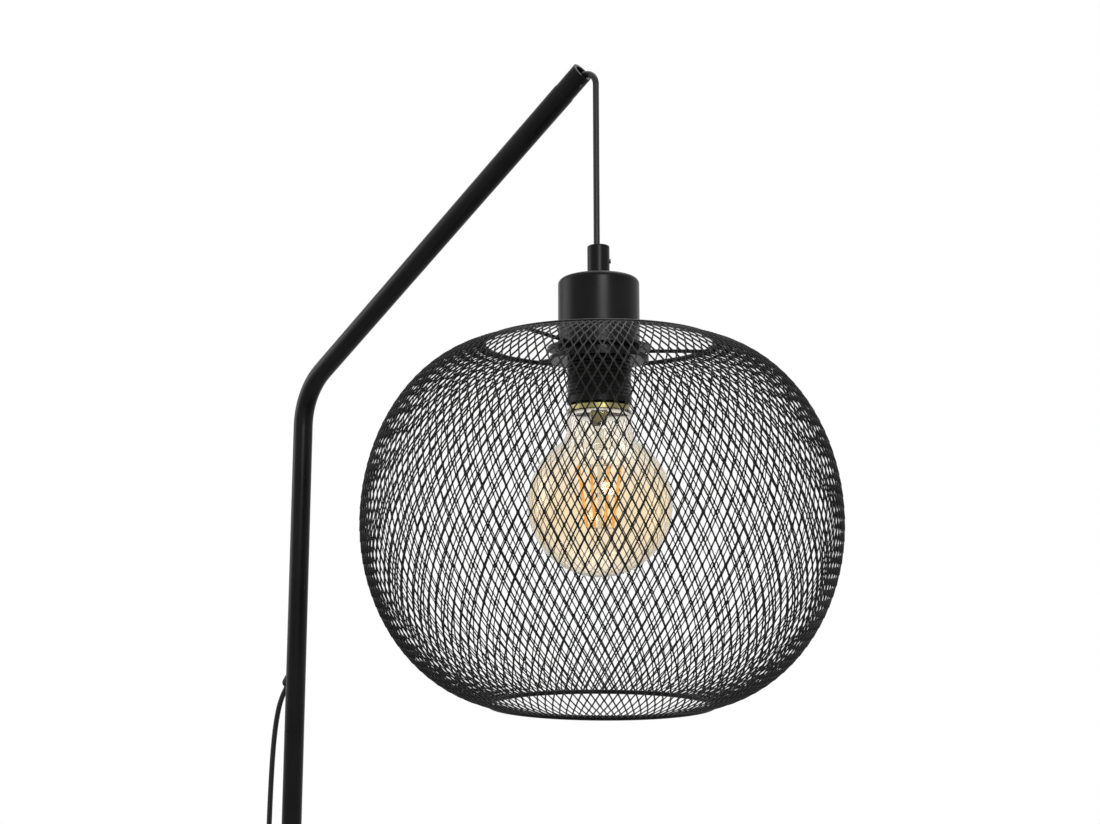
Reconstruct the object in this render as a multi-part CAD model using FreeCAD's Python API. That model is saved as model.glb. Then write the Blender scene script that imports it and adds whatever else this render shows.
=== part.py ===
"""Floor lamp: a round steel foot, a sectional tube with an inclined arm, and a round expanded-metal
cage shade that hangs from the arm's open end on its own cable.

Millimetres, +Z up. The origin is the middle of the foot's underside, on the floor. The arm runs
along +X and the supply cord leaves the pole at the back, along -X.
"""
import FreeCAD, Part
import math
import os
from FreeCAD import Vector

os.makedirs("parts", exist_ok=True)

# ---- clearances -------------------------------------------------------------------------------
SLIP = 0.05             # radial gap of a plug in a tube or a screw in its hole
KNUCKLE_GAP = 0.1       # gap round the ball on which the hanging flex turns

# ---- foot -------------------------------------------------------------------------------------
FOOT_D = 280.0
FOOT_T = 9.0
FOOT_EDGE_R = 3.0
PAD_T = 2.0
PAD_INSET = 4.0
BOLT_D = 8.0
BOLT_HEAD_D = 13.0
BOLT_HEAD_H = 5.0
BOLT_REACH = 22.0       # thread above the foot
WASHER_D = 18.0
WASHER_T = 1.6

# ---- pole and arm -----------------------------------------------------------------------------
TUBE_D = 15.9
TUBE_WALL = 1.2
SEAM_EASE = 0.4
SEAM_LOW_Z = 519.0
SEAM_HIGH_Z = 1026.0
BEND_Z = 1306.0         # where the centre lines of the pole and the arm meet
BEND_R = 52.0
ARM_RUN = 310.0         # pole axis to the arm's tip
ARM_TIP_Z = 1500.0
COUPLER_L = 44.0
INSERT_L = 30.0

# ---- arm end ----------------------------------------------------------------------------------
SLEEVE_D = 15.2
SLEEVE_L = 20.0
SLEEVE_SPIGOT_L = 16.0
SLEEVE_BORE = 12.4
BUSH_WALL = 0.8
BUSH_L = 14.0
SET_SCREW_D = 3.0
SET_SCREW_PROUD = 0.6
SET_SCREW_BACK = 6.0    # from the open end

# ---- flex and cords ---------------------------------------------------------------------------
CORD_D = 4.3
LIP_REACH = 12.0        # tip of the arm to the hanging flex
LIP_R = 10.0            # of the flex where it bends over the lip
GROMMET_Z = 1065.0
GROMMET_D = 11.0
GROMMET_HOLE_D = 7.0
GROMMET_PROUD = 4.6
GROMMET_LIP = 1.0       # of its neck inside the tube
GROMMET_TILT = 50.0     # the exit looks this far below the horizontal

# ---- shade suspension -------------------------------------------------------------------------
GRIP_OFFSET = 1.4       # the grip's screw pushes the flex this far off the shade's axis
GRIP_D = 15.0
GRIP_H = 23.0
GRIP_WALL = 2.2
GRIP_EDGE_R = 1.0
GRIP_SCREW_D = 3.0
GRIP_SCREW_DEG = 40.0   # round the grip from the arm's own direction
CAP_D = 54.5
CAP_H = 46.5
CAP_WALL = 1.2
CAP_SHOULDER_R = 3.8
NIPPLE_D = 10.0
NIPPLE_BORE = 7.6
NIPPLE_TAIL = 9.0       # below the top of the cap
NUT_D = 15.0
NUT_H = 3.0

# ---- shade ------------------------------------------------------------------------------------
HANG_DROP = 195.4       # tip of the arm down to the shade's top rim
CAGE_H = 232.8
CAGE_D = 310.0
CAGE_T = 0.8
TOP_RIM_D = 154.0
BOTTOM_RIM_D = 144.0
RIM_WIRE_D = 3.0
UPPER_SWELL = 7 / 6     # horizontal half axis of the upper ellipse, to the step from rim to equator
LOWER_SWELL = 1.205     # and of the lower half
SPIDER_D = 69.0
SPIDER_T = 1.5
SPIDER_ARM_DEGS = (57.5, 164.5, 271.5)
SPIDER_ARM_D = 2.6

# ---- lampholder -------------------------------------------------------------------------------
HOLDER_D = 43.0
HOLDER_NECK_D = 34.0
HOLDER_TOP_DROP = 8.0   # top of the holder below the top of the cap
HOLDER_DROP = 39.6      # the skirt's edge below the top rim
HOLDER_BORE = 38.0
HOLDER_FLOOR_T = 5.0
THREAD_PITCH = 2.5
THREAD_DEPTH = 0.7
SHADE_RING_D = 66.0
SHADE_RING_T = 3.0
SHADE_RING_NUT_D = 54.0
SHADE_RING_H = 8.0
SOCKET_D = 29.0
SOCKET_T = 0.6
CONTACT_D = 8.0

# ---- bulb -------------------------------------------------------------------------------------
BULB_D = 95.0
BULB_DROP = 153.1       # the bottom of the globe below the top rim
BULB_L = 138.0
BULB_NECK_D = 43.0
BULB_GLASS_T = 1.0
BULB_FLARE_R = 13.0
SCREW_CAP_D = 26.4
SCREW_CAP_H = 24.0
SCREW_CAP_T = 0.5
SCREW_CAP_COLLAR_H = 8.0
COLLAR_D = 40.0
COLLAR_BAND_H = 3.4
INSULATOR_H = 4.0
TIP_CONTACT_D = 9.0
TIP_CONTACT_T = 1.5
STEM_D = 14.0
STEM_TIP_D = 7.0
STEM_H = 40.0
STEM_ROD_D = 3.0
FILAMENTS = 4
FILAMENT_D = 2.0
FILAMENT_FIRST_DEG = 62.0
FILAMENT_TOP_R = 15.0
FILAMENT_BOTTOM_R = 9.0
FILAMENT_TOP_H = 72.5   # above the bottom of the globe
FILAMENT_BOTTOM_H = 32.5
SUPPORT_D = 0.6

# ---- foot switch, coil and plug on the supply cord --------------------------------------------
SWITCH_L = 92.0
SWITCH_W = 36.0
SWITCH_H = 25.0
SWITCH_SPLIT_Z = 11.0
SWITCH_WALL = 2.0
SWITCH_X = -324.0
SWITCH_Y = 20.0
SWITCH_CORD_Z = 4.4     # where the cord enters, above the floor
BUTTON_D = 22.0
BUTTON_PROUD = 4.0
BUTTON_TRAVEL = 2.5
BUTTON_GAP = 0.4
RELIEF_D = 7.5
RELIEF_L = 14.0
RELIEF_TIP_WALL = 0.7
COIL_TURN_D = 54.0      # middle of a turn
COIL_BAND_W = 23.0
COIL_BAND_H = 9.0
COIL_NOTCH = 3.0        # the flats where the cord ends meet the coil
PLUG_L = 35.0
PLUG_W = 26.0
PLUG_H = 13.7
PLUG_NOSE_W = 20.0
RELIEF_ROOT_D = 9.2
PIN_D = 4.0
PIN_L = 19.0
PIN_SPACING = 18.6
PIN_ROOT = 6.0
PIN_ROOT_D = 3.2
PLUG_X = -330.0         # where the cord enters the plug's relief
PLUG_Y = 122.0

# ---- worked out -------------------------------------------------------------------------------
FOOT_TOP_Z = PAD_T + FOOT_T
TUBE_R = TUBE_D / 2
BORE_R = TUBE_R - TUBE_WALL
CORD_R = CORD_D / 2
ARM_RISE = ARM_TIP_Z - BEND_Z
ARM_ANGLE = math.atan2(ARM_RISE, ARM_RUN)
ALONG = Vector(math.cos(ARM_ANGLE), 0, math.sin(ARM_ANGLE))
UNDER = Vector(math.sin(ARM_ANGLE), 0, -math.cos(ARM_ANGLE))
BEND_POINT = Vector(0, 0, BEND_Z)
TIP = Vector(ARM_RUN, 0, ARM_TIP_Z)
SLEEVE_START = TIP - ALONG * SLEEVE_L
BUSH_BORE_R = SLEEVE_BORE / 2 - BUSH_WALL
FLEX_LOW = BUSH_BORE_R - CORD_R - 0.4   # the flex all but touches the low side of the bush at its mouth
LIP_OVERRUN = LIP_R * (1 + ALONG.z) - LIP_REACH + FLEX_LOW * ALONG.z
LIP_BACK = LIP_R / ALONG.z * (math.sqrt(ALONG.x ** 2 + 2 * ALONG.z * LIP_OVERRUN / LIP_R) - ALONG.x)
FLEX_MID = FLEX_LOW - LIP_BACK ** 2 / (2 * LIP_R)   # where its curve starts, inside the tube
LIP_START = TIP - ALONG * LIP_BACK + UNDER * FLEX_MID
LIP_CENTRE = LIP_START + UNDER * LIP_R
PIVOT = LIP_CENTRE + Vector(LIP_R, 0, 0)
SHADE_X = PIVOT.x + GRIP_OFFSET
TOP_RIM_Z = ARM_TIP_Z - HANG_DROP
EQUATOR_Z = TOP_RIM_Z - CAGE_H / 2
CAP_BOTTOM_Z = TOP_RIM_Z - 1.6
CAP_TOP_Z = CAP_BOTTOM_Z + CAP_H
GRIP_TOP_Z = CAP_TOP_Z + GRIP_H
HOLDER_TOP_Z = CAP_TOP_Z - HOLDER_TOP_DROP
HOLDER_BOTTOM_Z = TOP_RIM_Z - HOLDER_DROP
SHADE_RING_TOP_Z = CAP_BOTTOM_Z - SPIDER_T
BULB_BOTTOM_Z = TOP_RIM_Z - BULB_DROP
BULB_TOP_Z = BULB_BOTTOM_Z + BULB_L
GLASS_TOP_Z = BULB_TOP_Z - TIP_CONTACT_T - INSULATOR_H - SCREW_CAP_H
FILAMENT_TOP_Z = BULB_BOTTOM_Z + FILAMENT_TOP_H
FILAMENT_BOTTOM_Z = BULB_BOTTOM_Z + FILAMENT_BOTTOM_H
STEM_BOTTOM_Z = FILAMENT_BOTTOM_Z - 1.0


def save(name, shape):
    """Writes one named piece."""
    shape.exportStep("parts/" + name + ".step")


def rod(diameter, start, end):
    """A round bar from one point to another."""
    way = end - start
    return Part.makeCylinder(diameter / 2, way.Length, start, way)


def pipe(outer, inner, start, end):
    """A round tube from one point to another."""
    return rod(outer, start, end).cut(rod(inner, start, end))


def at_shade(z):
    return Vector(SHADE_X, 0, z)


def turned(points, x=0.0):
    """A turned piece: a closed outline of (radius, z) about the vertical line through x."""
    corners = [Vector(r, 0, z) for r, z in points]
    face = Part.Face(Part.makePolygon(corners + corners[:1]))
    return face.revolve(Vector(0, 0, 0), Vector(0, 0, 1), 360).translated(Vector(x, 0, 0))


def rounded_route(points):
    """Straight runs joined by tangent arcs through a list of points; returns the wire and the radii."""
    edges, radii, here = [], [], points[0]
    for before, corner, after in zip(points, points[1:], points[2:]):
        back, on = before - corner, after - corner
        turn = math.pi - back.getAngle(on)
        tangent = 0.45 * min(back.Length, on.Length)
        radii.append(tangent / math.tan(turn / 2))
        start = corner + back.normalize() * tangent
        end = corner + on.normalize() * tangent
        bisector = (back + on).normalize()
        middle = corner + bisector * (radii[-1] / math.cos(turn / 2) - radii[-1])
        edges += [Part.LineSegment(here, start).toShape(), Part.Arc(start, middle, end).toShape()]
        here = end
    edges.append(Part.LineSegment(here, points[-1]).toShape())
    return Part.Wire(edges), radii


def swept(wire, diameter):
    """A round bar along a wire."""
    start = wire.Edges[0].firstVertex().Point
    way = wire.Edges[0].tangentAt(wire.Edges[0].FirstParameter)
    ring = Part.Wire(Part.makeCircle(diameter / 2, start, way))
    return wire.makePipeShell([ring], True, False)


def cord(name, points, diameter=CORD_D):
    """A cord along its route; prints its radii in diameters and its volume against its length."""
    wire, radii = rounded_route(points)
    solid = swept(wire, diameter)
    ideal = math.pi * (diameter / 2) ** 2 * wire.Length
    least = min(radii) / diameter
    print(name, "length %.0f, least radius %.1f diameters, volume %.4f of ideal"
          % (wire.Length, least, solid.Volume / ideal))
    print("  radii", " ".join("%.0f" % r for r in radii))
    return solid


# ---- foot -------------------------------------------------------------------------------------
def foot_plate():
    plate = rod(FOOT_D, Vector(0, 0, PAD_T), Vector(0, 0, FOOT_TOP_Z))
    top = [e for e in plate.Edges if abs(e.BoundBox.ZMin - FOOT_TOP_Z) < 0.01]
    plate = plate.makeFillet(FOOT_EDGE_R, top[:1])
    recess_top = PAD_T + BOLT_HEAD_H + WASHER_T
    plate = plate.cut(rod(WASHER_D + 1, Vector(0, 0, 0), Vector(0, 0, recess_top)))
    return plate.cut(rod(BOLT_D + 2 * SLIP, Vector(0, 0, 0), Vector(0, 0, FOOT_TOP_Z + 1)))


def foot_pad():
    return rod(FOOT_D - 2 * PAD_INSET, Vector(0, 0, 0), Vector(0, 0, PAD_T))


def foot_washer():
    low, high = PAD_T + BOLT_HEAD_H, PAD_T + BOLT_HEAD_H + WASHER_T
    return pipe(WASHER_D, BOLT_D + 2 * SLIP, Vector(0, 0, low), Vector(0, 0, high))


def foot_bolt():
    head = Part.makePolygon([Vector(BOLT_HEAD_D / 2 * math.cos(math.radians(60 * i)),
                                    BOLT_HEAD_D / 2 * math.sin(math.radians(60 * i)), PAD_T)
                             for i in range(7)])
    head = Part.Face(head).extrude(Vector(0, 0, BOLT_HEAD_H))
    shank = rod(BOLT_D, Vector(0, 0, PAD_T), Vector(0, 0, FOOT_TOP_Z + BOLT_REACH))
    return head.fuse(shank).removeSplitter()


# ---- pole and arm -----------------------------------------------------------------------------
def pole_insert():
    plug = rod(2 * (BORE_R - SLIP), Vector(0, 0, FOOT_TOP_Z), Vector(0, 0, FOOT_TOP_Z + INSERT_L))
    return plug.cut(rod(BOLT_D + 2 * SLIP, Vector(0, 0, FOOT_TOP_Z),
                        Vector(0, 0, FOOT_TOP_Z + BOLT_REACH + 2)))


def pole_tube(low, high):
    """A straight length of tube, its upper outside edge eased so that the joint shows as a line."""
    body = rod(TUBE_D, Vector(0, 0, low), Vector(0, 0, high))
    rim = [e for e in body.Edges if abs(e.BoundBox.ZMin - high) < 0.01]
    body = body.makeChamfer(SEAM_EASE, rim[:1])
    return body.cut(rod(2 * BORE_R, Vector(0, 0, low - 1), Vector(0, 0, high + 1)))


def pole_coupler(seam):
    body = rod(2 * (BORE_R - SLIP), Vector(0, 0, seam - COUPLER_L / 2), Vector(0, 0, seam + COUPLER_L / 2))
    return body.cut(rod(BOLT_D, Vector(0, 0, seam - COUPLER_L), Vector(0, 0, seam + COUPLER_L)))


def arm_route(start, end):
    """The bent centre line from a point on the pole to a point on the arm."""
    turn = math.pi / 2 - ARM_ANGLE
    tangent = BEND_R * math.tan(turn / 2)
    low, high = BEND_POINT - Vector(0, 0, tangent), BEND_POINT + ALONG * tangent
    inward = (ALONG - Vector(0, 0, 1)).normalize()
    middle = BEND_POINT + inward * (BEND_R / math.cos(turn / 2) - BEND_R)
    return Part.Wire([Part.LineSegment(start, low).toShape(), Part.Arc(low, middle, high).toShape(),
                      Part.LineSegment(high, end).toShape()])


def grommet_axis():
    """Where the supply cord leaves the tube, and the way it leaves."""
    tilt = math.radians(GROMMET_TILT)
    return Vector(-TUBE_R, 0, GROMMET_Z), Vector(-math.cos(tilt), 0, -math.sin(tilt))


def arm_tube():
    route = arm_route(Vector(0, 0, SEAM_HIGH_Z), SLEEVE_START)
    tube = swept(route, TUBE_D).cut(swept(route, 2 * BORE_R))
    seat, way = grommet_axis()
    return tube.cut(rod(GROMMET_HOLE_D, seat - way * TUBE_R, seat + way * TUBE_R))


def cord_grommet():
    """A short rubber sleeve in the side hole, with a rounded collar outside."""
    seat, way = grommet_axis()
    neck = rod(GROMMET_HOLE_D - 2 * SLIP, seat - way * (TUBE_WALL + GROMMET_LIP), seat + way)
    collar = rod(GROMMET_D, seat - way * 5, seat + way * GROMMET_PROUD)
    rim = [e for e in collar.Edges if (e.CenterOfMass - seat).dot(way) > GROMMET_PROUD - 0.1]
    collar = collar.makeFillet(2.0, rim[:1])
    collar = collar.cut(rod(TUBE_D, Vector(0, 0, GROMMET_Z - 30), Vector(0, 0, GROMMET_Z + 30)))
    body = collar.fuse(neck)
    return body.cut(rod(CORD_D + 2 * SLIP, seat - way * 9, seat + way * 9))


def arm_sleeve():
    spigot_start = SLEEVE_START - ALONG * SLEEVE_SPIGOT_L
    body = rod(SLEEVE_D, SLEEVE_START, TIP).fuse(rod(2 * (BORE_R - SLIP), spigot_start, SLEEVE_START))
    body = body.cut(rod(SLEEVE_BORE - 2 * BUSH_WALL, spigot_start - ALONG, TIP + ALONG))
    body = body.cut(rod(SLEEVE_BORE + 2 * SLIP, TIP - ALONG * BUSH_L, TIP + ALONG))
    seat = TIP - ALONG * SET_SCREW_BACK
    return body.cut(rod(SET_SCREW_D + 2 * SLIP, seat + UNDER * SLEEVE_BORE / 2, seat + UNDER * SLEEVE_D))


def arm_bush():
    return pipe(SLEEVE_BORE, 2 * BUSH_BORE_R, TIP - ALONG * BUSH_L, TIP)


def arm_set_screw():
    seat = TIP - ALONG * SET_SCREW_BACK
    return rod(SET_SCREW_D, seat + UNDER * (SLEEVE_BORE / 2 + SLIP),
               seat + UNDER * (SLEEVE_D / 2 + SET_SCREW_PROUD))


# ---- flex from the pole to the shade ----------------------------------------------------------
def flex_in_arm():
    """The flex from the side hole up the pole and along the arm to its open end."""
    seat, way = grommet_axis()
    corner_run = BEND_R * math.tan((math.pi / 2 - ARM_ANGLE) / 2) / 0.45
    points = [seat + way * (GROMMET_PROUD + 1), seat - way * 9, Vector(1.2, 0, GROMMET_Z + 28),
              Vector(0.4, 0, GROMMET_Z + 90), BEND_POINT - Vector(0, 0, corner_run), BEND_POINT,
              BEND_POINT + ALONG * corner_run, TIP - ALONG * 180 + UNDER * 1.0,
              TIP - ALONG * 90 + UNDER * 1.5, TIP - ALONG * 44 + UNDER * FLEX_MID, LIP_START]
    wire = rounded_route(points)[0]
    return swept(wire, CORD_D)


def ball(gap):
    return Part.makeSphere(CORD_R + gap, PIVOT)


def flex_over_lip():
    """The tight curve of the flex over the tube's lower lip, down to where it hangs free."""
    half = (math.pi / 2 + ARM_ANGLE) / 2
    middle_way = Vector(math.cos(half), 0, math.sin(half))
    arc = Part.Arc(LIP_START, LIP_CENTRE + middle_way * LIP_R, PIVOT)
    return swept(Part.Wire([arc.toShape()]), CORD_D).cut(ball(KNUCKLE_GAP))


def pendant_flex():
    bottom = Vector(PIVOT.x, 0, HOLDER_TOP_Z - HOLDER_FLOOR_T)
    return rod(CORD_D, PIVOT, bottom).cut(ball(KNUCKLE_GAP))


# ---- shade suspension -------------------------------------------------------------------------
def screw_way():
    way = math.radians(GRIP_SCREW_DEG)
    return Vector(math.cos(way), math.sin(way), 0)


def cord_grip():
    body = rod(GRIP_D, at_shade(CAP_TOP_Z), at_shade(GRIP_TOP_Z))
    rim = [e for e in body.Edges if abs(e.BoundBox.ZMin - GRIP_TOP_Z) < 0.01]
    body = body.makeFillet(GRIP_EDGE_R, rim[:1])
    body = body.cut(rod(GRIP_D - 2 * GRIP_WALL, at_shade(CAP_TOP_Z), at_shade(GRIP_TOP_Z + 1)))
    seat = at_shade((CAP_TOP_Z + GRIP_TOP_Z) / 2 + 1)
    return body.cut(rod(GRIP_SCREW_D + 2 * SLIP, seat, seat + screw_way() * GRIP_D))


def grip_screw():
    seat = at_shade((CAP_TOP_Z + GRIP_TOP_Z) / 2 + 1)
    slant = GRIP_OFFSET * screw_way().x
    inner = math.sqrt((CORD_R + SLIP) ** 2 - (GRIP_OFFSET * screw_way().y) ** 2) - slant
    return rod(GRIP_SCREW_D, seat + screw_way() * (inner + 0.2), seat + screw_way() * (GRIP_D / 2 + 0.8))


def grip_nipple():
    """The hollow threaded stub that joins grip, cap and holder."""
    top = CAP_TOP_Z + NUT_H
    body = rod(NIPPLE_D, at_shade(CAP_TOP_Z - NIPPLE_TAIL), at_shade(top))
    return body.cut(rod(NIPPLE_BORE, at_shade(CAP_TOP_Z - 2 * NIPPLE_TAIL), at_shade(top + 1)))


def nipple_nut():
    low = CAP_TOP_Z - CAP_WALL - NUT_H
    return pipe(NUT_D, NIPPLE_D + 2 * SLIP, at_shade(low), at_shade(low + NUT_H))


def lamp_cap():
    body = rod(CAP_D, at_shade(CAP_BOTTOM_Z), at_shade(CAP_TOP_Z))
    rim = [e for e in body.Edges if abs(e.BoundBox.ZMin - CAP_TOP_Z) < 0.01]
    body = body.makeFillet(CAP_SHOULDER_R, rim[:1])
    inner = rod(CAP_D - 2 * CAP_WALL, at_shade(CAP_BOTTOM_Z), at_shade(CAP_TOP_Z - CAP_WALL))
    rim = [e for e in inner.Edges if abs(e.BoundBox.ZMin - (CAP_TOP_Z - CAP_WALL)) < 0.01]
    inner = inner.makeFillet(CAP_SHOULDER_R - CAP_WALL, rim[:1])
    return body.cut(inner).cut(rod(NIPPLE_D + 2 * SLIP, at_shade(CAP_BOTTOM_Z), at_shade(CAP_TOP_Z + 1)))


# ---- shade ------------------------------------------------------------------------------------
def meridian(height):
    """The cage's outer half width at a height above (+) or below (-) its equator."""
    rim, share = (TOP_RIM_D / 2, UPPER_SWELL) if height > 0 else (BOTTOM_RIM_D / 2, LOWER_SWELL)
    swell = share * (CAGE_D / 2 - rim)
    centre = CAGE_D / 2 - swell
    end = math.sqrt(1 - ((rim - centre) / swell) ** 2)
    tall = CAGE_H / 2 / end
    return centre + swell * math.sqrt(max(0.0, 1 - (height / tall) ** 2))


def meridian_points(inset):
    """Points up the meridian, moved inward square to it."""
    steps = 12
    points = []
    for i in range(-steps, steps + 1):
        height = CAGE_H / 2 * math.sin(math.pi / 2 * i / steps)
        near = CAGE_H / 2 * 0.002
        low, high = max(-CAGE_H / 2, height - near), min(CAGE_H / 2, height + near)
        slope = Vector(meridian(high) - meridian(low), 0, high - low).normalize()
        points.append(Vector(meridian(height) - inset * slope.z, 0, EQUATOR_Z + height + inset * slope.x))
    return points


def rim(diameter, z):
    return Part.makeTorus(diameter / 2 - CAGE_T / 2, RIM_WIRE_D / 2, at_shade(z), Vector(0, 0, 1))


def top_rim():
    return rim(TOP_RIM_D, TOP_RIM_Z)


def bottom_rim():
    return rim(BOTTOM_RIM_D, TOP_RIM_Z - CAGE_H)


def cage_mesh():
    """The sheet of the cage, as one thin wall; its rim wires are welded to its two edges."""
    outer, inner = Part.BSplineCurve(), Part.BSplineCurve()
    out_points, in_points = meridian_points(0), meridian_points(CAGE_T)
    outer.interpolate(out_points)
    inner.interpolate(in_points)
    outline = Part.Wire([outer.toShape(), Part.makeLine(out_points[-1], in_points[-1]),
                         inner.toShape(), Part.makeLine(in_points[0], out_points[0])])
    wall = Part.Face(outline).revolve(Vector(0, 0, 0), Vector(0, 0, 1), 360)
    wall = wall.translated(Vector(SHADE_X, 0, 0))
    return wall.cut(top_rim()).cut(bottom_rim())


def spider_frame():
    """A ring on the holder with thin arms out to the top rim."""
    plate = pipe(SPIDER_D, HOLDER_D + 2 * SLIP, at_shade(CAP_BOTTOM_Z - SPIDER_T), at_shade(CAP_BOTTOM_Z))
    mid = CAP_BOTTOM_Z - SPIDER_T / 2
    for degrees in SPIDER_ARM_DEGS:
        way = math.radians(degrees)
        out = Vector(math.cos(way), math.sin(way), 0)
        start = at_shade(mid) + out * (SPIDER_D / 2 - 4)
        end = at_shade(TOP_RIM_Z) + out * (TOP_RIM_D / 2 - CAGE_T / 2)
        plate = plate.fuse(rod(SPIDER_ARM_D, start, end))
    clear = rod(SPIDER_D, at_shade(CAP_BOTTOM_Z), at_shade(CAP_BOTTOM_Z + 9))
    under = rod(SHADE_RING_D, at_shade(SHADE_RING_TOP_Z - 9), at_shade(SHADE_RING_TOP_Z))
    return plate.cut(top_rim()).cut(clear).cut(under)


# ---- lampholder -------------------------------------------------------------------------------
def lampholder():
    """A moulded holder: narrow above, a threaded skirt below, open at the bottom."""
    neck_z = CAP_BOTTOM_Z + 12
    r, deep = HOLDER_D / 2, HOLDER_D / 2 - THREAD_DEPTH
    outline = [(NIPPLE_D / 2 + SLIP, HOLDER_TOP_Z), (HOLDER_NECK_D / 2, HOLDER_TOP_Z),
               (HOLDER_NECK_D / 2, neck_z), (r, neck_z - 4), (r, SHADE_RING_TOP_Z - SHADE_RING_H)]
    z = SHADE_RING_TOP_Z - SHADE_RING_H
    while z - THREAD_PITCH > HOLDER_BOTTOM_Z + 1:
        outline += [(deep, z - THREAD_PITCH / 2), (r, z - THREAD_PITCH)]
        z -= THREAD_PITCH
    roof = HOLDER_TOP_Z - HOLDER_FLOOR_T
    outline += [(r, HOLDER_BOTTOM_Z), (HOLDER_BORE / 2, HOLDER_BOTTOM_Z), (HOLDER_BORE / 2, neck_z - 5),
                (SOCKET_D / 2 + SOCKET_T, neck_z - 1), (SOCKET_D / 2 + SOCKET_T, roof),
                (NIPPLE_D / 2 + SLIP, roof)]
    return turned(outline, SHADE_X)


def holder_socket():
    """The threaded metal shell, with a floor ring that hangs it from the holder's roof."""
    roof = HOLDER_TOP_Z - HOLDER_FLOOR_T
    r, inner = SOCKET_D / 2 + SOCKET_T - SLIP, SOCKET_D / 2 - SLIP
    low = GLASS_TOP_Z + SCREW_CAP_COLLAR_H
    return turned([(NIPPLE_D / 2 + 1, roof), (r, roof), (r, low), (inner, low),
                   (inner, roof - SOCKET_T), (NIPPLE_D / 2 + 1, roof - SOCKET_T)], SHADE_X)


def holder_contact():
    """The sprung centre contact, on a ceramic stud."""
    roof = HOLDER_TOP_Z - HOLDER_FLOOR_T
    return rod(CONTACT_D, at_shade(BULB_TOP_Z), at_shade(roof - SOCKET_T))


def shade_ring():
    """The ring nut that clamps the spider against the cap."""
    low = SHADE_RING_TOP_Z - SHADE_RING_H
    bore = HOLDER_D / 2 + SLIP
    return turned([(bore, SHADE_RING_TOP_Z), (SHADE_RING_NUT_D / 2, SHADE_RING_TOP_Z),
                   (SHADE_RING_NUT_D / 2, low + SHADE_RING_T), (SHADE_RING_D / 2, low + SHADE_RING_T),
                   (SHADE_RING_D / 2, low), (bore, low)], SHADE_X)


# ---- bulb -------------------------------------------------------------------------------------
def bulb_glass():
    """A globe that flares into a neck, as one thin closed wall open at the top."""
    def outline(r_globe, r_neck, flare):
        centre = BULB_BOTTOM_Z + BULB_D / 2
        reach = r_globe + flare
        offset = r_neck + flare
        rise = math.sqrt(reach ** 2 - offset ** 2)
        share = r_globe / reach
        touch = Vector(offset * share, 0, centre + rise * share)
        bottom = Vector(0, 0, centre - r_globe)
        globe_way = (math.atan2(touch.z - centre, touch.x) - math.pi / 2) / 2
        side = Vector(math.cos(globe_way) * r_globe, 0, centre + math.sin(globe_way) * r_globe)
        flare_low = math.atan2(rise, offset)
        half = flare_low / 2
        bend = Vector(offset - flare * math.cos(half), 0, centre + rise - flare * math.sin(half))
        throat = Vector(r_neck, 0, centre + rise)
        top = Vector(r_neck, 0, GLASS_TOP_Z)
        return bottom, Part.Arc(bottom, side, touch), Part.Arc(touch, bend, throat), throat, top

    inset = BULB_GLASS_T
    bottom, globe, flare, throat, top = outline(BULB_D / 2, BULB_NECK_D / 2, BULB_FLARE_R)
    bottom2, globe2, flare2, throat2, top2 = outline(BULB_D / 2 - inset, BULB_NECK_D / 2 - inset,
                                                     BULB_FLARE_R + inset)
    wire = Part.Wire([globe.toShape(), flare.toShape(), Part.makeLine(throat, top),
                      Part.makeLine(top, top2), Part.makeLine(top2, throat2), flare2.toShape(),
                      globe2.toShape(), Part.makeLine(bottom2, bottom)])
    shell = Part.Face(wire).revolve(Vector(0, 0, 0), Vector(0, 0, 1), 360)
    return shell.translated(Vector(SHADE_X, 0, 0))


def screw_cap():
    """The bulb's rolled-thread cap, with a collar that widens onto the glass neck."""
    low = GLASS_TOP_Z
    high = BULB_TOP_Z - TIP_CONTACT_T - INSULATOR_H
    r, ring = SCREW_CAP_D / 2, COLLAR_D / 2
    return turned([(ring - BULB_GLASS_T, low), (ring, low), (ring, low + COLLAR_BAND_H),
                   (r, low + SCREW_CAP_COLLAR_H), (r, high), (r - SCREW_CAP_T, high),
                   (r - SCREW_CAP_T, low + SCREW_CAP_COLLAR_H - 0.5),
                   (ring - BULB_GLASS_T, low + COLLAR_BAND_H - 0.5)], SHADE_X)


def cap_insulator():
    high = BULB_TOP_Z - TIP_CONTACT_T
    r = SCREW_CAP_D / 2
    return turned([(0, high - INSULATOR_H), (r, high - INSULATOR_H), (TIP_CONTACT_D / 2 + 1, high),
                   (0, high)], SHADE_X)


def tip_contact():
    return rod(TIP_CONTACT_D, at_shade(BULB_TOP_Z - TIP_CONTACT_T), at_shade(BULB_TOP_Z))


def bulb_stem():
    """The glass mount inside the bulb, with a rod down the middle that carries the filaments."""
    wide, thin, tip = STEM_D / 2, STEM_ROD_D / 2, STEM_TIP_D / 2
    high = BULB_TOP_Z - TIP_CONTACT_T - INSULATOR_H
    shoulder = GLASS_TOP_Z - STEM_H + 12
    return turned([(0, STEM_BOTTOM_Z), (thin, STEM_BOTTOM_Z), (thin, shoulder - 4), (tip, shoulder),
                   (tip, GLASS_TOP_Z - 10), (wide, GLASS_TOP_Z), (wide, high - 2), (wide - 1, high),
                   (0, high)], SHADE_X)


def filament_out(i):
    way = math.radians(360 / FILAMENTS * i + FILAMENT_FIRST_DEG)
    return Vector(math.cos(way), math.sin(way), 0)


def bulb_filaments():
    """Straight strips set in a cone that narrows downward."""
    return Part.Compound([rod(FILAMENT_D, at_shade(FILAMENT_TOP_Z) + filament_out(i) * FILAMENT_TOP_R,
                              at_shade(FILAMENT_BOTTOM_Z) + filament_out(i) * FILAMENT_BOTTOM_R)
                          for i in range(FILAMENTS)])


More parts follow.
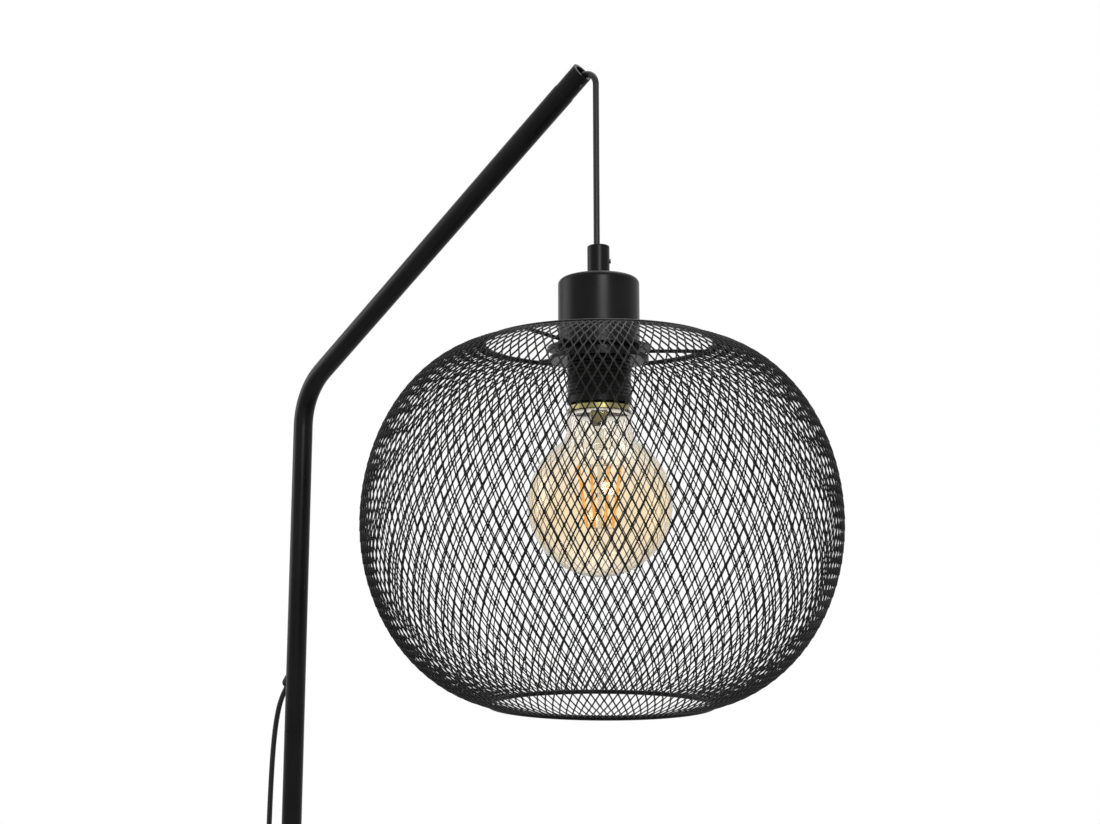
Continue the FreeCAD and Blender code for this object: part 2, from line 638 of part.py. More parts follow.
def filament_supports():
    """Thin level wires from the stem to both ends of each filament strip."""
    lean = FILAMENT_D / 2 * (FILAMENT_TOP_R - FILAMENT_BOTTOM_R) / (FILAMENT_TOP_Z - FILAMENT_BOTTOM_Z)
    beyond = lean + SUPPORT_D / 2 + SLIP
    wires = []
    for i in range(FILAMENTS):
        for z, reach in ((FILAMENT_TOP_Z + beyond, FILAMENT_TOP_R),
                         (FILAMENT_BOTTOM_Z - beyond, FILAMENT_BOTTOM_R)):
            start = at_shade(z) + filament_out(i) * (STEM_ROD_D / 2 + SLIP)
            wires.append(rod(SUPPORT_D, start, at_shade(z) + filament_out(i) * reach))
    return Part.Compound(wires)


# ---- supply cord ------------------------------------------------------------------------------
def drop_points():
    """From the pole's side hole down behind the foot and along the floor into the switch."""
    seat, way = grommet_axis()
    start = seat + way * (GROMMET_PROUD + 1)
    fall = [(-23.4, 0, 1040.6), (-28.2, 0, 1015), (-31.0, 0.4, 973), (-32.4, 1.0, 913), (-33.8, 2.0, 851),
            (-35.8, 3.4, 789), (-38.6, 5.2, 727), (-42.0, 7.4, 666), (-46.8, 9.8, 605),
            (-52.4, 12.2, 544), (-58.6, 14.6, 484), (-65.6, 16.8, 424), (-73.4, 18.6, 365),
            (-82.2, 20.0, 307), (-92.4, 21.0, 250), (-104.4, 21.6, 195), (-118.4, 21.8, 143),
            (-134.8, 21.6, 98), (-153.4, 21.2, 62), (-175.4, 20.8, 34), (-200.4, 20.4, 15),
            (-226.0, 20.2, 6)]
    wall = Vector(SWITCH_X + SWITCH_L / 2, SWITCH_Y, SWITCH_CORD_Z)
    return ([start, start + way * 8] + [Vector(*p) for p in fall]
            + [wall + Vector(RELIEF_L + 12, 0, 0), wall - Vector(1, 0, 0)])


def tail_points():
    """From the switch round to the coil."""
    wall = Vector(SWITCH_X - SWITCH_L / 2, SWITCH_Y, SWITCH_CORD_Z)
    lie = [(-418, 22, 2.6), (-442, 31, CORD_R), (-460, 49, CORD_R), (-470, 73, CORD_R), (-473, 99, CORD_R)]
    return ([wall + Vector(1, 0, 0), wall - Vector(RELIEF_L + 10, 0, 0)]
            + [Vector(*p) for p in lie])


def coil_centre():
    """The tail runs into the coil's near side, square to it."""
    end = tail_points()[-1]
    return Vector(end.x, end.y + COIL_TURN_D / 2 + COIL_BAND_W / 2 - COIL_NOTCH, 0)


def cord_coil():
    """The envelope of the put-away turns: a flat rounded ring, with flats where its cord ends meet it."""
    r, half, high = COIL_TURN_D / 2, COIL_BAND_W / 2, COIL_BAND_H
    trim = 3.0
    ring = turned([(r - half + trim, 0), (r + half - trim, 0), (r + half, trim), (r + half, high - trim),
                   (r + half - trim, high), (r - half + trim, high), (r - half, high - trim),
                   (r - half, trim)]).translated(coil_centre())
    for points in (tail_points()[::-1], lead_points()):
        seat, way = points[0], (points[1] - points[0]).normalize()
        ring = ring.cut(rod(4 * CORD_D, seat, seat + way * COIL_BAND_W))
    return ring


def lead_points():
    """From the coil to the plug."""
    centre = coil_centre()
    start = centre + Vector(COIL_TURN_D / 2 + COIL_BAND_W / 2 - COIL_NOTCH, 0, 6.4)
    end = Vector(PLUG_X, PLUG_Y, PLUG_H / 2)
    return [start, start + Vector(16, 0, -1), start + Vector(40, -6, -3.8), end - Vector(40, -0.5, 4.3),
            end - Vector(16, 0, 0), end]


# ---- foot switch ------------------------------------------------------------------------------
def switch_block(low, high, inset):
    """A stadium-shaped block on the switch's axis."""
    r = SWITCH_W / 2 - inset
    reach = SWITCH_L / 2 - SWITCH_W / 2
    a = Vector(SWITCH_X - reach, SWITCH_Y, low)
    b = Vector(SWITCH_X + reach, SWITCH_Y, low)
    up = high - low
    block = Part.makeBox(2 * reach, 2 * r, up, a - Vector(0, r, 0))
    return block.fuse([Part.makeCylinder(r, up, a), Part.makeCylinder(r, up, b)]).removeSplitter()


def switch_base():
    """The lower half shell, with a hole in each end for the cord."""
    shell = switch_block(0, SWITCH_SPLIT_Z, 0)
    shell = shell.cut(switch_block(SWITCH_WALL, SWITCH_SPLIT_Z, SWITCH_WALL))
    middle = Vector(SWITCH_X, SWITCH_Y, SWITCH_CORD_Z)
    return shell.cut(rod(CORD_D + 2 * SLIP, middle - Vector(SWITCH_L, 0, 0), middle + Vector(SWITCH_L, 0, 0)))


def switch_cover():
    cover = switch_block(SWITCH_SPLIT_Z, SWITCH_H, 0)
    top = [e for e in cover.Edges if abs(e.BoundBox.ZMin - SWITCH_H) < 0.01]
    cover = cover.makeFillet(4.0, top)
    cover = cover.cut(switch_block(SWITCH_SPLIT_Z, SWITCH_H - SWITCH_WALL, SWITCH_WALL))
    return cover.cut(rod(BUTTON_D + 2 * BUTTON_GAP, Vector(SWITCH_X, SWITCH_Y, 0),
                         Vector(SWITCH_X, SWITCH_Y, SWITCH_H + 1)))


def switch_button():
    """A round push button with a flange under the cover that keeps it in."""
    flange_top = SWITCH_H - SWITCH_WALL - 0.3
    flange = rod(BUTTON_D + 3, Vector(SWITCH_X, SWITCH_Y, flange_top - 1.5),
                 Vector(SWITCH_X, SWITCH_Y, flange_top))
    stem = rod(BUTTON_D, Vector(SWITCH_X, SWITCH_Y, flange_top - 1.5),
               Vector(SWITCH_X, SWITCH_Y, SWITCH_H + BUTTON_PROUD))
    top = [e for e in stem.Edges if abs(e.BoundBox.ZMin - SWITCH_H - BUTTON_PROUD) < 0.01]
    return stem.makeFillet(1.5, top[:1]).fuse(flange).removeSplitter()


def switch_mechanism():
    """The switch block under the button, standing on the base's floor."""
    floor = SWITCH_WALL
    high = SWITCH_H - SWITCH_WALL - 1.8 - BUTTON_TRAVEL - 0.3
    return Part.makeBox(18, 14, high - floor, Vector(SWITCH_X - 9, SWITCH_Y - 7, floor))


def switch_reliefs():
    """The two soft sleeves where the cord enters and leaves the switch."""
    sleeves = []
    for side in (-1, 1):
        wall = Vector(SWITCH_X + side * SWITCH_L / 2, SWITCH_Y, SWITCH_CORD_Z)
        tip = wall + Vector(side * RELIEF_L, 0, 0)
        cone = Part.makeCone(RELIEF_D / 2, CORD_R + RELIEF_TIP_WALL, RELIEF_L, wall, tip - wall)
        bore = rod(CORD_D + 2 * SLIP, wall - Vector(side * 5, 0, 0), tip + Vector(side * 5, 0, 0))
        sleeves.append(cone.cut(bore))
    return Part.Compound(sleeves)


# ---- plug -------------------------------------------------------------------------------------
def plug_body():
    """A flat two-pin plug that lies on the floor, its pins along +X."""
    x = PLUG_X + RELIEF_L
    outline = [(x, -5), (x + 6, -PLUG_NOSE_W / 2), (x + 14, -PLUG_W / 2), (x + PLUG_L, -PLUG_W / 2),
               (x + PLUG_L, PLUG_W / 2), (x + 14, PLUG_W / 2), (x + 6, PLUG_NOSE_W / 2), (x, 5)]
    corners = [Vector(a, PLUG_Y + b, 0) for a, b in outline]
    block = Part.Face(Part.makePolygon(corners + corners[:1])).extrude(Vector(0, 0, PLUG_H))
    for side in (-1, 1):
        seat = pin_seat(side)
        block = block.cut(rod(PIN_ROOT_D, seat, seat + Vector(PIN_ROOT, 0, 0)))
    long_edges = [e for e in block.Edges if e.BoundBox.ZLength < 0.01 and e.BoundBox.YLength < 0.01]
    return block.makeFillet(2.0, [e for e in long_edges if e.Length > 15])


def pin_seat(side):
    x = PLUG_X + RELIEF_L + PLUG_L - PIN_ROOT
    return Vector(x, PLUG_Y + side * PIN_SPACING / 2, PLUG_H / 2)


def plug_pins():
    pins = []
    for side in (-1, 1):
        root = pin_seat(side)
        face = root + Vector(PIN_ROOT, 0, 0)
        pins.append(rod(PIN_ROOT_D, root, face).fuse(rod(PIN_D, face, face + Vector(PIN_L, 0, 0))))
    return Part.Compound(pins)


def plug_relief():
    start = Vector(PLUG_X, PLUG_Y, PLUG_H / 2)
    return Part.makeCone(CORD_R + RELIEF_TIP_WALL, RELIEF_ROOT_D / 2, RELIEF_L, start, Vector(1, 0, 0))


def main():
    save("foot_plate", foot_plate())
    save("foot_pad", foot_pad())
    save("foot_bolt", foot_bolt())
    save("foot_washer", foot_washer())
    save("pole_insert", pole_insert())
    save("pole_lower", pole_tube(FOOT_TOP_Z, SEAM_LOW_Z))
    save("pole_middle", pole_tube(SEAM_LOW_Z, SEAM_HIGH_Z))
    save("coupler_lower", pole_coupler(SEAM_LOW_Z))
    save("coupler_upper", pole_coupler(SEAM_HIGH_Z))
    save("arm_tube", arm_tube())
    save("arm_sleeve", arm_sleeve())
    save("arm_bush", arm_bush())
    save("arm_set_screw", arm_set_screw())
    save("cord_grommet", cord_grommet())
    save("flex_in_arm", flex_in_arm())
    save("flex_over_lip", flex_over_lip())
    save("flex_knuckle", ball(0))
    save("pendant_flex", pendant_flex())
    save("cord_grip", cord_grip())
    save("grip_screw", grip_screw())
    save("grip_nipple", grip_nipple())
    save("nipple_nut", nipple_nut())
    save("lamp_cap", lamp_cap())
    save("spider_frame", spider_frame())
    save("cage_mesh", cage_mesh())
    save("cage_top_rim", top_rim())
    save("cage_bottom_rim", bottom_rim())
    save("lampholder", lampholder())
    save("holder_socket", holder_socket())
    save("holder_contact", holder_contact())
    save("shade_ring", shade_ring())
    save("bulb_glass", bulb_glass())
    save("bulb_screw_cap", screw_cap())
    save("bulb_insulator", cap_insulator())
    save("bulb_contact", tip_contact())
    save("bulb_stem", bulb_stem())
    save("bulb_filaments", bulb_filaments())
    save("filament_supports", filament_supports())
    save("supply_cord", cord("supply_cord", drop_points()))
    save("switch_base", switch_base())
    save("switch_cover", switch_cover())
    save("switch_button", switch_button())
    save("switch_mechanism", switch_mechanism())
    save("switch_reliefs", switch_reliefs())
    save("tail_cord", cord("tail_cord", tail_points()))
    save("cord_coil", cord_coil())
    save("plug_cord", cord("plug_cord", lead_points()))
    save("plug_relief", plug_relief())
    save("plug_body", plug_body())
    save("plug_pins", plug_pins())


main()
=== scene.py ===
"""Looks of the cage-shade floor lamp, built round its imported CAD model, in metres."""
import bpy
import math
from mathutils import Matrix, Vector


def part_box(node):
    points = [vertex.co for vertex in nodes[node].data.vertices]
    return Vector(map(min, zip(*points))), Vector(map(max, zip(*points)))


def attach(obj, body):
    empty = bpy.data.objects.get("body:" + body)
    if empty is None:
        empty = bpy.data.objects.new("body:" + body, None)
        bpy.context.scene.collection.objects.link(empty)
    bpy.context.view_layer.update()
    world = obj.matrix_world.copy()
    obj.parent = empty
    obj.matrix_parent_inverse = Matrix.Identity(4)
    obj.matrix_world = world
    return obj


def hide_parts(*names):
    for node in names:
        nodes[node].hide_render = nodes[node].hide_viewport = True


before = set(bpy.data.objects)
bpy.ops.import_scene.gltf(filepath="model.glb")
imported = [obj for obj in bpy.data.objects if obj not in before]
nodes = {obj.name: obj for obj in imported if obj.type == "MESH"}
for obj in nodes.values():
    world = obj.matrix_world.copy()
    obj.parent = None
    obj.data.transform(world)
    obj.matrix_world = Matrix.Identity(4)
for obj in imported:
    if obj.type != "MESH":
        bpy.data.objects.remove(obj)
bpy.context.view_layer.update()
scene = bpy.context.scene

# ---- where the shade hangs ----------------------------------------------------------------------
# The shade, its cap, holder and bulb share one upright axis, a hand's breadth past the arm's open
# end. It is read from the cap, which is turned about it.
cap_low, cap_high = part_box("lamp_cap")
SHADE_X = (cap_low[0] + cap_high[0]) / 2

# ---- viewpoint ----------------------------------------------------------------------------------
# The camera stands close to the shade, a little below its middle, and looks slightly up, with the
# pole on the left and the lower pole and the foot below the picture.
AZIMUTH = math.radians(41.6)
PITCH = math.radians(7.75)
STAND_OFF = 0.753           # level, from the eye to the shade's axis
SHADE_RIGHT = 0.0326        # the shade stands this far right of the view's middle
EYE_Z = 1.1573
FRAME_WIDTH_PX = 1100
FOCAL_PX = 1150

ahead = Vector((-math.sin(AZIMUTH), math.cos(AZIMUTH), 0))
right = Vector((math.cos(AZIMUTH), math.sin(AZIMUTH), 0))
eye = bpy.data.cameras.new("eye")
eye.sensor_width = 36
eye.lens = eye.sensor_width * FOCAL_PX / FRAME_WIDTH_PX
camera = bpy.data.objects.new("eye", eye)
scene.collection.objects.link(camera)
camera.location = Vector((SHADE_X, 0, EYE_Z)) - ahead * STAND_OFF - right * SHADE_RIGHT
camera.rotation_euler = (math.pi / 2 + PITCH, 0, AZIMUTH)
scene.camera = camera

# ---- pole, arm, cap, rings and foot -------------------------------------------------------------
# Steel tube, a drawn steel cap, wire rings and a cut foot plate, plugged and screwed together. All
# are powder coated satin black: a fine orange peel, a few paler rub marks on the edges, and a
# little dust on what faces up.
BLACK_SHEEN = 0.10          # under the white surround a fuller gloss turns the black grey
RUB_STARTS, RUB_FULL = 0.995, 0.9       # how far the rounded normal agrees with the true one
DUST_COLOUR = (0.30, 0.29, 0.27)
DUST_GRAIN = 140
DUST_SLOPE = 0.55           # the upward share of the normal at which dust begins to lie


def new_group(name, inputs, outputs):
    """An empty node group with named sockets."""
    group = bpy.data.node_groups.new(name, "ShaderNodeTree")
    for label, kind, value in inputs:
        socket = group.interface.new_socket(label, in_out="INPUT", socket_type="NodeSocket" + kind)
        socket.default_value = value
    for label, kind in outputs:
        group.interface.new_socket(label, in_out="OUTPUT", socket_type="NodeSocket" + kind)
    return group, group.nodes.new("NodeGroupInput"), group.nodes.new("NodeGroupOutput")


def grain_group():
    """Cloudy and fine grain in Object coordinates: a broad mask and a fine height."""
    group, entry, leave = new_group("grain", [("Broad", "Float", 30.0), ("Fine", "Float", 900.0)],
                                    [("Clouds", "Float"), ("Height", "Float")])
    place = group.nodes.new("ShaderNodeTexCoord")
    for label, detail in (("Broad", 4), ("Fine", 2)):
        noise = group.nodes.new("ShaderNodeTexNoise")
        noise.inputs["Detail"].default_value = detail
        group.links.new(place.outputs["Object"], noise.inputs["Vector"])
        group.links.new(entry.outputs[label], noise.inputs["Scale"])
        out = "Clouds" if label == "Broad" else "Height"
        group.links.new(noise.outputs["Fac"], leave.inputs[out])
    return group


def edge_group():
    """A mask of the outer edges, from the normal as rounded over a radius against the true one."""
    group, entry, leave = new_group("edge_rub", [("Radius", "Float", 0.0006)], [("Mask", "Float")])
    rounded = group.nodes.new("ShaderNodeBevel")
    rounded.samples = 4
    group.links.new(entry.outputs["Radius"], rounded.inputs["Radius"])
    flat = group.nodes.new("ShaderNodeNewGeometry")
    match = group.nodes.new("ShaderNodeVectorMath")
    match.operation = "DOT_PRODUCT"
    group.links.new(rounded.outputs["Normal"], match.inputs[0])
    group.links.new(flat.outputs["Normal"], match.inputs[1])
    mask = group.nodes.new("ShaderNodeMapRange")
    mask.inputs["From Min"].default_value = RUB_STARTS
    mask.inputs["From Max"].default_value = RUB_FULL
    group.links.new(match.outputs["Value"], mask.inputs["Value"])
    group.links.new(mask.outputs["Result"], leave.inputs["Mask"])
    return group


def dust_group():
    """A mask of what faces up, broken by grain."""
    group, entry, leave = new_group("dust", [("Amount", "Float", 0.3)], [("Mask", "Float")])
    facing = group.nodes.new("ShaderNodeNewGeometry")
    split = group.nodes.new("ShaderNodeSeparateXYZ")
    group.links.new(facing.outputs["Normal"], split.inputs["Vector"])
    place = group.nodes.new("ShaderNodeTexCoord")
    noise = group.nodes.new("ShaderNodeTexNoise")
    noise.inputs["Scale"].default_value = DUST_GRAIN
    noise.inputs["Detail"].default_value = 6
    group.links.new(place.outputs["Object"], noise.inputs["Vector"])
    up = group.nodes.new("ShaderNodeMapRange")
    up.inputs["From Min"].default_value = DUST_SLOPE
    group.links.new(split.outputs["Z"], up.inputs["Value"])
    broken = group.nodes.new("ShaderNodeMath")
    broken.operation = "MULTIPLY"
    group.links.new(up.outputs["Result"], broken.inputs[0])
    group.links.new(noise.outputs["Fac"], broken.inputs[1])
    scaled = group.nodes.new("ShaderNodeMath")
    scaled.operation = "MULTIPLY"
    group.links.new(broken.outputs["Value"], scaled.inputs[0])
    group.links.new(entry.outputs["Amount"], scaled.inputs[1])
    group.links.new(scaled.outputs["Value"], leave.inputs["Mask"])
    return group


grain, edge_rub, dust = grain_group(), edge_group(), dust_group()


def placed(material, group, **values):
    """A shared effect placed in a material."""
    node = material.node_tree.nodes.new("ShaderNodeGroup")
    node.node_tree = group
    for label, value in values.items():
        node.inputs[label].default_value = value
    return node


def blended(material, mask, dark, pale):
    """A colour between two by a mask; either may be a colour or a node's output."""
    mix = material.node_tree.nodes.new("ShaderNodeMix")
    mix.data_type = "RGBA"
    material.node_tree.links.new(mask, mix.inputs["Factor"])
    for socket, colour in ((mix.inputs[6], dark), (mix.inputs[7], pale)):
        if isinstance(colour, tuple):
            socket.default_value = (*colour, 1)
        else:
            material.node_tree.links.new(colour, socket)
    return mix.outputs[2]


def ranged(material, value, low, high, start=0.3, end=0.7):
    """A value stretched to a range."""
    stretch = material.node_tree.nodes.new("ShaderNodeMapRange")
    for label, number in (("From Min", start), ("From Max", end),
                          ("To Min", low), ("To Max", high)):
        stretch.inputs[label].default_value = number
    material.node_tree.links.new(value, stretch.inputs["Value"])
    return stretch.outputs["Result"]


def bumped(material, shader, height, distance, strength=1.0):
    """A height fed to the shader's normal."""
    bump = material.node_tree.nodes.new("ShaderNodeBump")
    bump.inputs["Distance"].default_value = distance
    bump.inputs["Strength"].default_value = strength
    material.node_tree.links.new(height, bump.inputs["Height"])
    material.node_tree.links.new(bump.outputs["Normal"], shader.inputs["Normal"])


def grained(name, dark, pale, rough, broad, fine, depth, rub=None, dusty=0.0, sheen=None):
    """A finish with clouds in its colour and gloss, fine bumps, rubbed edges and dust."""
    material = bpy.data.materials.new(name)
    material.use_nodes = True
    links = material.node_tree.links
    shader = material.node_tree.nodes["Principled BSDF"]
    texture = placed(material, grain, Broad=broad, Fine=fine)
    clouds = ranged(material, texture.outputs["Clouds"], 0, 1)
    colour = blended(material, clouds, dark, pale)
    if rub:
        edge = placed(material, edge_rub)
        worn = material.node_tree.nodes.new("ShaderNodeMath")
        worn.operation = "MULTIPLY"
        links.new(edge.outputs["Mask"], worn.inputs[0])
        links.new(clouds, worn.inputs[1])
        colour = blended(material, worn.outputs["Value"], colour, rub)
    if dusty:
        film = placed(material, dust, Amount=dusty)
        colour = blended(material, film.outputs["Mask"], colour, DUST_COLOUR)
    links.new(colour, shader.inputs["Base Color"])
    links.new(ranged(material, texture.outputs["Clouds"], *rough), shader.inputs["Roughness"])
    bumped(material, shader, texture.outputs["Height"], depth)
    if sheen is not None:
        shader.inputs["Specular IOR Level"].default_value = sheen
    return material


def finished(material, *names):
    """Gives CAD nodes their finish."""
    for name in names:
        for material_slot in nodes[name].material_slots:
            material_slot.material = material


powder_coat = grained("powder_coat", (0.003, 0.003, 0.0033), (0.006, 0.006, 0.0063), (0.26, 0.34),
                      broad=25, fine=1500, depth=0.00001, rub=(0.035, 0.035, 0.035), dusty=0.06,
                      sheen=BLACK_SHEEN)
finished(powder_coat, "pole_lower", "pole_middle", "arm_tube", "lamp_cap", "cord_grip",
         "spider_frame", "cage_top_rim", "cage_bottom_rim", "foot_plate", "arm_sleeve")

# ---- supply cord --------------------------------------------------------------------------------
# A round black vinyl cord, 4.3 mm thick and about 2.9 m long. It leaves the pole's side hole by a
# rubber grommet, falls behind the foot, runs through a foot switch and ends in a flat plug.
CORD_D = 0.0043
VINYL_SHEEN = 0.22
GROMMET_MOUTH = (-0.01155, 0, 1.06071)
SWITCH_AXIS_Y = 0.020
SWITCH_CORD_Z = 0.0044
DROP_ROUTE = [
    GROMMET_MOUTH, (-0.01669, 0, 1.05458), (-0.0234, 0, 1.0406), (-0.0282, 0, 1.015),
    (-0.0310, 0.0004, 0.973), (-0.0324, 0.001, 0.913), (-0.0338, 0.002, 0.851),
    (-0.0358, 0.0034, 0.789), (-0.0386, 0.0052, 0.727), (-0.0420, 0.0074, 0.666),
    (-0.0468, 0.0098, 0.605), (-0.0524, 0.0122, 0.544), (-0.0586, 0.0146, 0.484),
    (-0.0656, 0.0168, 0.424), (-0.0734, 0.0186, 0.365), (-0.0822, 0.020, 0.307),
    (-0.0924, 0.021, 0.250), (-0.1044, 0.0216, 0.195), (-0.1184, 0.0218, 0.143),
    (-0.1348, 0.0216, 0.098), (-0.1534, 0.0212, 0.062), (-0.1754, 0.0208, 0.034),
    (-0.2004, 0.0204, 0.015), (-0.226, 0.0202, 0.006), (-0.252, SWITCH_AXIS_Y, SWITCH_CORD_Z),
    (-0.279, SWITCH_AXIS_Y, SWITCH_CORD_Z)]


def laid_cord(name, route, diameter):
    """A round cord, a smooth line with the route's points as its control points."""
    curve = bpy.data.curves.new(name, "CURVE")
    curve.dimensions = "3D"
    line = curve.splines.new("NURBS")
    line.points.add(len(route) - 1)
    for point, place in zip(line.points, route):
        point.co = (*place, 1)
    line.order_u = 3
    line.use_endpoint_u = True
    line.resolution_u = 8
    curve.bevel_depth = diameter / 2
    curve.bevel_resolution = 4
    curve.use_fill_caps = True
    piece = bpy.data.objects.new(name, curve)
    scene.collection.objects.link(piece)
    return piece


vinyl = grained("cord_vinyl", (0.008, 0.008, 0.008), (0.014, 0.014, 0.014), (0.30, 0.42),
                broad=60, fine=700, depth=0.00005, dusty=0.06, sheen=VINYL_SHEEN)
supply_cord = laid_cord("supply_cord_run", DROP_ROUTE, CORD_D)
supply_cord.data.materials.append(vinyl)
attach(supply_cord, "stand")
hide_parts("supply_cord")

# ---- tail, coil and plug lead -------------------------------------------------------------------
# The rest of the same cord: it comes out of the switch, is wound into a put-away coil of two layers
# beside it, and ends in the plug. The turns run inward on the floor, climb over one crossing turn
# and run outward on top, one cord apart.
TAIL_START = (-0.369, SWITCH_AXIS_Y, SWITCH_CORD_Z)
TAIL_ROUTE = [TAIL_START, (-0.394, SWITCH_AXIS_Y, SWITCH_CORD_Z), (-0.418, 0.022, 0.0026),
              (-0.442, 0.031, CORD_D / 2), (-0.461, 0.050, CORD_D / 2),
              (-0.4735, 0.075, CORD_D / 2), (-0.4835, 0.096, CORD_D / 2)]
LEAD_ROUTE = [(-0.4340, 0.1420, 0.0064), (-0.4210, 0.1340, 0.0054), (-0.3990, 0.1285, 0.0028),
              (-0.370, 0.1225, 0.00255), (-0.346, 0.122, 0.00685), (-0.330, 0.122, 0.00685)]
COIL_CENTRE = Vector((-0.473, 0.1345, 0))
COIL_OUTER_R = 0.0346
COIL_LAYER_TURNS = 3.5
COIL_DIP = 0.0026           # the turn that climbs to the upper layer pulls in this much
COIL_START = math.radians(225)
POINTS_PER_TURN = 16

coil_route = []
climb_start, climb_end = COIL_LAYER_TURNS, COIL_LAYER_TURNS + 1
inner_r = COIL_OUTER_R - CORD_D * COIL_LAYER_TURNS
coil_turns = climb_end + COIL_LAYER_TURNS + 0.5
for step in range(int(coil_turns * POINTS_PER_TURN) + 1):
    turn = step / POINTS_PER_TURN
    if turn < climb_start:
        radius, height = COIL_OUTER_R - CORD_D * turn, CORD_D / 2
    elif turn < climb_end:
        part = turn - climb_start
        radius = inner_r - COIL_DIP * math.sin(math.pi * part)
        height = CORD_D / 2 + CORD_D * part * part * (3 - 2 * part)
    else:
        radius, height = inner_r + CORD_D * (turn - climb_end), 1.5 * CORD_D
    angle = COIL_START - 2 * math.pi * turn
    around = Vector((radius * math.cos(angle), radius * math.sin(angle), height))
    coil_route.append(COIL_CENTRE + around)

plug_lead = laid_cord("plug_lead_run", TAIL_ROUTE + coil_route + LEAD_ROUTE, CORD_D)
plug_lead.data.materials.append(vinyl)
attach(plug_lead, "stand")
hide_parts("tail_cord", "cord_coil", "plug_cord")

# ---- coil strap ---------------------------------------------------------------------------------
# A soft woven strap, wrapped once round all the coil's turns and closed on itself, on the side away
# from the leads. It is made as a box with round edges, open at both sides, then thickened.
TIE_IN_R, TIE_OUT_R = 0.0142, 0.0377
TIE_W, TIE_H, TIE_T = 0.008, 0.0094, 0.0005
TIE_CORNER_R = 0.003
TIE_TURN = math.radians(112)
TIE_CREASE = math.radians(35)


def thickened(piece, thickness, offset):
    """A sheet given its thickness: outward at offset 1, inward at -1, both ways at 0."""
    wall = piece.modifiers.new("wall", "SOLIDIFY")
    wall.thickness = thickness
    wall.offset = offset
    bpy.context.view_layer.objects.active = piece
    bpy.ops.object.modifier_apply(modifier=wall.name)


bpy.ops.object.select_all(action="DESELECT")
bpy.ops.mesh.primitive_cube_add(size=1, location=((TIE_IN_R + TIE_OUT_R) / 2, 0, TIE_H / 2))
tie = bpy.context.object
tie.name = "coil_tie"
tie.scale = (TIE_OUT_R - TIE_IN_R, TIE_W, TIE_H)
bpy.ops.object.transform_apply(location=True, scale=True)
for edge in tie.data.edges:
    ends = [tie.data.vertices[i].co for i in edge.vertices]
    edge.select = abs(ends[0].y - ends[1].y) > TIE_W / 2
bpy.ops.object.mode_set(mode="EDIT")
bpy.ops.mesh.select_mode(type="EDGE")
bpy.ops.mesh.bevel(offset=TIE_CORNER_R, segments=6)
bpy.ops.mesh.select_mode(type="FACE")
bpy.ops.mesh.select_all(action="DESELECT")
bpy.ops.object.mode_set(mode="OBJECT")
for face in tie.data.polygons:
    face.select = abs(face.normal.y) > 0.9
bpy.ops.object.mode_set(mode="EDIT")
bpy.ops.mesh.delete(type="FACE")
bpy.ops.object.mode_set(mode="OBJECT")
thickened(tie, TIE_T, -1)
tie.rotation_euler = (0, 0, TIE_TURN)
tie.location = COIL_CENTRE
bpy.ops.object.transform_apply(location=True, rotation=True)
bpy.ops.object.shade_smooth_by_angle(angle=TIE_CREASE)
strap_weave = grained("tie_weave", (0.010, 0.010, 0.010), (0.020, 0.020, 0.020), (0.75, 0.9),
                      broad=500, fine=2600, depth=0.00015)
tie.data.materials.append(strap_weave)
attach(tie, "stand")

# ---- hanging flex -------------------------------------------------------------------------------
# The same cord between the arm's open end and the shade. It comes over the lower lip of the tube in
# a tight curve and hangs straight into the cord grip, a little off the middle.
knuckle_low, knuckle_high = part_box("flex_knuckle")
PIVOT = [(a + b) / 2 for a, b in zip(knuckle_low, knuckle_high)]
FLEX_LENGTH = 0.151
flex_route = [(PIVOT[0], PIVOT[1], PIVOT[2] - FLEX_LENGTH * share) for share in (0, 0.33, 0.67, 1)]
hanging_flex = laid_cord("hanging_flex_run", flex_route, CORD_D)
hanging_flex.data.materials.append(vinyl)
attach(hanging_flex, "pendant")
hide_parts("pendant_flex")
finished(vinyl, "flex_over_lip", "flex_knuckle", "flex_in_arm")

# ---- cage shade ---------------------------------------------------------------------------------
# A globe of expanded steel sheet: slit and stretched into diamonds that stand upright, so that its
# strands run together in short bonds, then rolled, pressed round, welded to a wire ring at each end
# and powder coated black.
CAGE_CELLS = 137
CAGE_ROWS = 22
CAGE_PITCH = 2 * math.pi / CAGE_CELLS
STRAND_W = 0.00075
STRAND_T = 0.0005
BOND_REACH = 0.0009         # the strands run together over this much on each side of a crossing
BOND_AREA = 0.000005        # no bond is as large as this, and every hole is larger
STRAND_TILT = 0.0003        # each hole's lower corner stands out, its upper corner lies in
CAGE_SKIN = 0.0004          # from the outside of the sheet to its middle
CAGE_R, CAGE_TOP_R, CAGE_BOTTOM_R = 0.155, 0.077, 0.072
UPPER_SWELL, LOWER_SWELL = 7 / 6, 1.205     # an ellipse's half axis to the step from rim to equator
MERIDIAN_STEPS = 2000
MERGE_REACH = 0.00002
SAME_HEIGHT = 0.00001
NEAR_RING = 0.0001
top_rim_low, top_rim_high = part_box("cage_top_rim")
bottom_rim_low, bottom_rim_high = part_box("cage_bottom_rim")
RIM_TOP_Z = (top_rim_low[2] + top_rim_high[2]) / 2
RIM_BOTTOM_Z = (bottom_rim_low[2] + bottom_rim_high[2]) / 2
EQUATOR_Z = (RIM_TOP_Z + RIM_BOTTOM_Z) / 2


